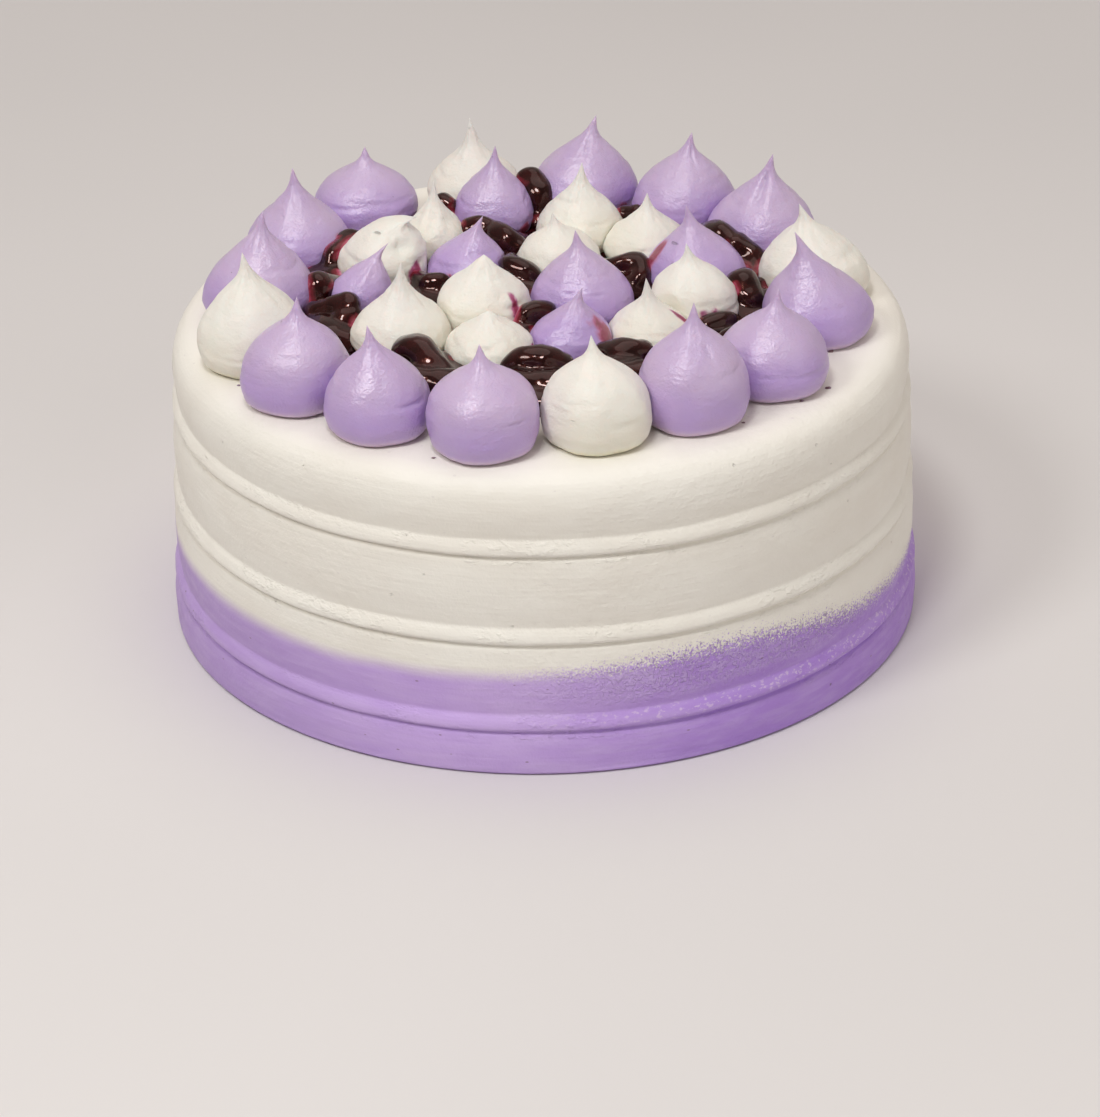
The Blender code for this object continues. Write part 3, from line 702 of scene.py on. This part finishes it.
class Kiss:
    """One piped kiss: where it stands, its outline, its lean and how its neighbours press on it."""

    def __init__(self, row, seed):
        self.colour, x, y, width, self.height, self.lean, self.pointed = row
        self.foot = np.array((x, y))
        self.radius = width / 2
        self.uneven = 0.5 if self.colour == "white" else 0.3
        self.planes = []
        self.line = None
        draw = random.Random(seed).uniform
        self.lobes = [(n, draw(0.006, 0.018), draw(0, math.tau)) for n in (2, 3, 5)]
        self.creases = [
            (draw(0.1, 0.6), draw(0, math.tau), draw(0.3, 1.2), draw(0.12, 0.45)) for _ in range(5)
        ]
        self.seed = Vector([draw(0, 50) for _ in range(3)])

    def mark(self, index):
        """Takes its own dents, stains and fallen tip from the tables."""
        self.dents = [
            (math.radians(bearing), share * self.height, half_width, half_height, depth)
            for number, bearing, share, half_width, half_height, depth in DENTS if number == index
        ]
        self.stains = [
            (math.radians(bearing), low * self.height, high * self.height, width)
            for number, bearing, low, high, width in STAINS if number == index
        ]
        self.fallen = FALLEN_TIP[1:] if FALLEN_TIP[0] == index else None

    def press(self, others):
        for other in others:
            away = other.foot - self.foot
            apart = np.hypot(*away)
            if other is self or apart > self.radius + other.radius + 0.6:
                continue
            share = (apart**2 + self.radius**2 - other.radius**2) / (2 * apart)
            self.planes.append((share - 0.02, away / apart))

    def outline(self):
        """Its (height, radius) from the tip down, as a smooth line."""
        share, round_shape, pointed_shape, blunt_shape = np.array(KISS_PROFILE)[::-1].T
        other_shape = pointed_shape if self.pointed > 0 else blunt_shape
        radius = (round_shape + (other_shape - round_shape) * abs(self.pointed)) * self.radius
        slope = np.gradient(radius, share)
        slope[0] = 4 * self.radius * (1 - 0.6 * max(self.pointed, 0))
        at = np.linspace(0, 1, 300)
        k = np.clip(np.searchsorted(share, at, side="right") - 1, 0, len(share) - 2)
        step = share[k + 1] - share[k]
        t = (at - share[k]) / step
        curve = (
            (2 * t**3 - 3 * t**2 + 1) * radius[k] + (t**3 - 2 * t**2 + t) * step * slope[k]
            + (3 * t**2 - 2 * t**3) * radius[k + 1] + (t**3 - t**2) * step * slope[k + 1]
        )
        return np.stack([at * self.height, np.maximum(curve, 0)], 1)[::-1]

    def axis(self, z):
        share = np.clip(z / self.height, 0, 1)
        return self.foot + np.array((self.lean * share**KISS_LEAN_POWER, 0.0))

    def surface(self, bearing, z, radius):
        """The place on its skin at a bearing and height, in mm."""
        share = z / self.height
        swell = 1 + sum(size * math.sin(n * bearing + phase + 1.5 * share) for n, size, phase in self.lobes)
        c, s = math.cos(bearing), math.sin(bearing)
        r = radius * swell
        rough = noise.noise(self.seed + Vector((2.2 * c, 2.2 * s, 5 * share)))
        fine = noise.noise(self.seed + Vector((5 * c, 5 * s, 11 * share)))
        r += self.uneven * min(1.0, radius / 4) * (rough + 0.5 * fine)
        for at, middle, reach, depth in self.creases:
            turn = (bearing - middle + math.pi) % math.tau - math.pi
            level = at + 0.02 * math.sin(2 * bearing + middle)
            r -= depth * math.exp(-((turn / reach) ** 2) - (((share - level) * self.height) / 0.7) ** 2)
        for middle, level, half_width, half_height, depth in self.dents:
            turn = (bearing - middle + math.pi) % math.tau - math.pi
            across = turn * max(radius, 0.5) / half_width
            r -= depth * min(1.0, radius / 3) * math.exp(-(across**2) - ((z - level) / half_height) ** 2)
        place = self.axis(z) + np.array((c, s)) * r
        for distance, direction in self.planes:
            beyond = float((place - self.foot) @ direction) - distance
            if beyond > -3:
                place = place - direction * 0.5 * (beyond + math.sqrt(beyond**2 + 0.12))
        x, y = place
        height = CAKE_HEIGHT + GAP + z
        if self.fallen and share > self.fallen[0]:
            start, right, down = self.fallen
            fall = (share - start) / (1 - start)
            return (x + right * fall**1.5, y, height - down * fall**2)
        return (x, y, height)

    def stain(self, bearing, z, radius):
        """How much gel has run onto its skin there: 0 or less for none, 1 where it is thick."""
        most = -1.0
        for middle, low, high, width in self.stains:
            turn = (bearing - middle + math.pi) % math.tau - math.pi
            across = turn * max(radius, 2) / (width / 2)
            up = (2 * z - low - high) / (high - low)
            ragged = noise.noise(self.seed + Vector((1.3 * across, 1.3 * up, 7)))
            most = max(most, 1 - math.hypot(across, up) + 0.5 * ragged)
        return most

    def radius_at(self, z):
        if self.line is None:
            self.line = self.outline()[::-1]
        return np.interp(z, self.line[:, 0], self.line[:, 1], right=0.0)


def make_kiss(name, kiss, material, node):
    columns, rows = ((88, 64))
    line = even_steps(kiss.outline(), rows)
    rings = np.zeros((rows - 1, columns, 3))
    stain = np.zeros((rows - 1, columns))
    for row, (z, radius) in enumerate(line[1:]):
        for column in range(columns):
            bearing = column * math.tau / columns
            rings[row, column] = kiss.surface(bearing, z, radius)
            stain[row, column] = kiss.stain(bearing, z, radius)
    tip = kiss.surface(0.0, kiss.height, 0.0)
    mesh = wrapped(name, rings, tip, (*kiss.foot, CAKE_HEIGHT + GAP))
    as_object(name, mesh, material, f"buttercream_{kiss.colour}", node)
    store(mesh, "stain", np.clip(np.concatenate([stain.ravel(), (0, 0)]), 0, 1))


def ball(shape, centre, sizes, rng, uneven):
    """A soft lump: a berry under its coat of gel, or a pool of gel."""
    seed = Vector([rng.uniform(0, 90) for _ in range(3)])
    for vertex in bmesh.ops.create_icosphere(shape, subdivisions=3, radius=1.0)["verts"]:
        place = vertex.co * (1 + uneven * noise.noise(vertex.co * 1.4 + seed))
        vertex.co = Vector([middle + size * part for middle, size, part in zip(centre, sizes, place)])


def run_steps(run):
    """Places and radii along a smooth line through a run's own places."""
    points = np.array(run, dtype=float)
    if len(points) == 1:
        return points
    before = np.concatenate([[2 * points[0] - points[1]], points, [2 * points[-1] - points[-2]]])
    steps = []
    for k in range(len(points) - 1):
        a, b, c, d = before[k : k + 4]
        for t in np.arange(0, 1, 0.125):
            square = (2 * a - 5 * b + 4 * c - d) * t**2
            cube = (3 * b - a - 3 * c + d) * t**3
            steps.append(0.5 * (2 * b + (c - a) * t + square + cube))
    return np.array(steps + [points[-1]])


def heap_mesh(name, runs, pool, rng):
    """Coated berries and the gel under them as one skin, flat underneath."""
    shape = bmesh.new()
    floor = CAKE_HEIGHT + GAP
    for run in runs:
        for x, y, z, radius in run_steps(run):
            ball(shape, (x, y, z), (radius, radius, 0.88 * radius), rng, 0.04)
            under = z - floor
            sizes = (0.9 * radius, 0.9 * radius, 0.55 * under + 0.5)
            ball(shape, (x, y, floor + 0.45 * under), sizes, rng, 0.0)
    ball(shape, *pool, rng, 0.2)
    seed = Vector([rng.uniform(0, 90) for _ in range(3)])
    for vertex in shape.verts:
        vertex.co += 0.8 * noise.noise_vector(vertex.co * 0.2 + seed)
        vertex.co.z = max(vertex.co.z, floor)
        vertex.co *= MM
    mesh = bpy.data.meshes.new(name)
    shape.to_mesh(mesh)
    shape.free()
    return mesh


def fuse(obj, voxel, smoothing):
    """Joins a piece's loose shapes into one skin and softens it."""
    remesh = obj.modifiers.new("fuse", "REMESH")
    remesh.mode = "VOXEL"
    remesh.voxel_size = voxel * MM
    smooth = obj.modifiers.new("soften", "SMOOTH")
    smooth.factor = 0.5
    smooth.iterations = smoothing
    graph = bpy.context.evaluated_depsgraph_get()
    joined = bpy.data.meshes.new_from_object(obj.evaluated_get(graph))
    obj.modifiers.clear()
    loose = obj.data
    obj.data = joined
    bpy.data.meshes.remove(loose)
    joined.shade_smooth()


def mark_thin(mesh, kisses, rng):
    """Keeps how thin the gel is: 0 where it is deep, over 1 where it runs out against a kiss."""
    places = np.zeros(len(mesh.vertices) * 3)
    mesh.vertices.foreach_get("co", places)
    places = places.reshape(-1, 3) / MM
    up = places[:, 2] - CAKE_HEIGHT - GAP
    nearest = np.full(len(places), 99.0)
    for kiss in kisses:
        share = np.clip(up / kiss.height, 0, 1)
        middle = kiss.foot[None, :] + np.stack([kiss.lean * share**KISS_LEAN_POWER, 0 * share], 1)
        gap = np.hypot(*(places[:, :2] - middle).T) - kiss.radius_at(up)
        nearest = np.minimum(nearest, gap)
    seed = Vector([rng.uniform(0, 90) for _ in range(3)])
    patch = np.array([noise.noise(Vector(p) * 0.14 + seed) for p in places])
    raised = np.clip((up - 2) / 3, 0, 1)
    store(mesh, "thin", np.clip((1.15 - nearest / 3.2) * np.clip(patch * 3 + 0.45, 0, 1) * raised, 0, 1.5))


def clear_of_kisses(x, y, z, kisses, margin):
    """The place moved out of any kiss that it is in, at its height."""
    place = np.array((x, y))
    for _ in range(3):
        for kiss in kisses:
            away = place - kiss.axis(z)
            apart = np.hypot(*away)
            need = kiss.radius_at(z) + margin
            if 0 < apart < need:
                place = place + away / apart * (need - apart)
    return place


def make_heap(number, heap, kisses, material):
    x, y, reach, height = heap
    rng = random.Random(100 + number)
    floor = CAKE_HEIGHT + GAP
    runs = []
    for row in [row for row in RUNS if row[0] == number]:
        run = []
        for px, py, pz, radius in row[1:]:
            cx, cy = clear_of_kisses(px, py, pz, kisses, 0.35 * radius)
            run.append((cx, cy, floor + pz, radius))
        runs.append(run)
    pool = ((x, y, floor + 1.0), (0.95 * reach, 0.95 * reach, 0.42 * height))
    mesh = heap_mesh(f"compote_heap_{number:02d}", runs, pool, rng)
    obj = as_object(mesh.name, mesh, material, "blueberry_compote", f"compote_{number:02d}")
    fuse(obj, 0.5, 16)
    mark_thin(obj.data, kisses, rng)


def make_glaze(material):
    """The thin gel under the kisses, with a ragged edge."""
    columns, rows = 240, 60
    rings = np.zeros((rows, columns, 3))
    for column in range(columns):
        bearing = math.tau * column / columns
        c, s = math.cos(bearing), math.sin(bearing)
        edge = 68 + 5 * noise.noise(Vector((2.5 * c, 2.5 * s, 1)))
        edge += 2.5 * noise.noise(Vector((8 * c, 8 * s, 2)))
        for row in range(rows):
            share = (row + 1) / rows
            r = edge * share
            level = 1.3 + 1.1 * noise.noise(Vector((r * c * 0.13, r * s * 0.13, 5)))
            level *= math.sqrt(max(0.0, 1 - share**10))
            rings[row, column] = (r * c, r * s, CAKE_HEIGHT - 0.1 + max(0.0, level))
    mesh = wrapped("compote_glaze", rings, (0, 0, CAKE_HEIGHT + 1.2), (0, 0, CAKE_HEIGHT - 0.4))
    obj = as_object("compote_glaze", mesh, material, "blueberry_compote")
    store(obj.data, "thin", np.full(len(obj.data.vertices), 0.35))


def make_crumbs(material):
    """A few flat crumbs on the top, mostly by the kisses on the right."""
    rng = random.Random(5)
    shape = bmesh.new()
    for x, y, size in CRUMBS:
        seed = Vector([rng.uniform(0, 90) for _ in range(3)])
        for vertex in bmesh.ops.create_icosphere(shape, subdivisions=2, radius=1.0)["verts"]:
            p = vertex.co * (1 + 0.8 * noise.noise(vertex.co * 1.7 + seed)) * size
            vertex.co = Vector((x + 1.5 * p.x, y + p.y, CAKE_HEIGHT + 0.1 + 0.6 * p.z)) * MM
    mesh = bpy.data.meshes.new("icing_crumbs")
    shape.to_mesh(mesh)
    shape.free()
    as_object("icing_crumbs", mesh, material, "buttercream_lilac")


def main():
    noise.seed_set(NOISE_SEED)
    make_camera()
    make_room()
    for lamp in LAMPS:
        make_lamp(*lamp)
    make_floor()
    make_cake(cake_icing())
    creams = {name: buttercream(f"{name}_buttercream", **look) for name, look in CREAMS.items()}
    rows = OUTER_RING + INNER_KISSES
    kisses = [Kiss(row, 40 + k) for k, row in enumerate(rows)]
    for index, kiss in enumerate(kisses):
        kiss.press(kisses)
        kiss.mark(index)
    for k, kiss in enumerate(kisses):
        place = f"ring_{k + 1:02d}" if k < len(OUTER_RING) else f"inner_{k + 1 - len(OUTER_RING):02d}"
        make_kiss(f"piped_{place}", kiss, creams[kiss.colour], f"kiss_{place}")
    gel = compote()
    for number, heap in enumerate(COMPOTE_HEAPS, 1):
        make_heap(number, heap, kisses, gel)
    make_glaze(gel)
    make_crumbs(crumb_brown())


main()
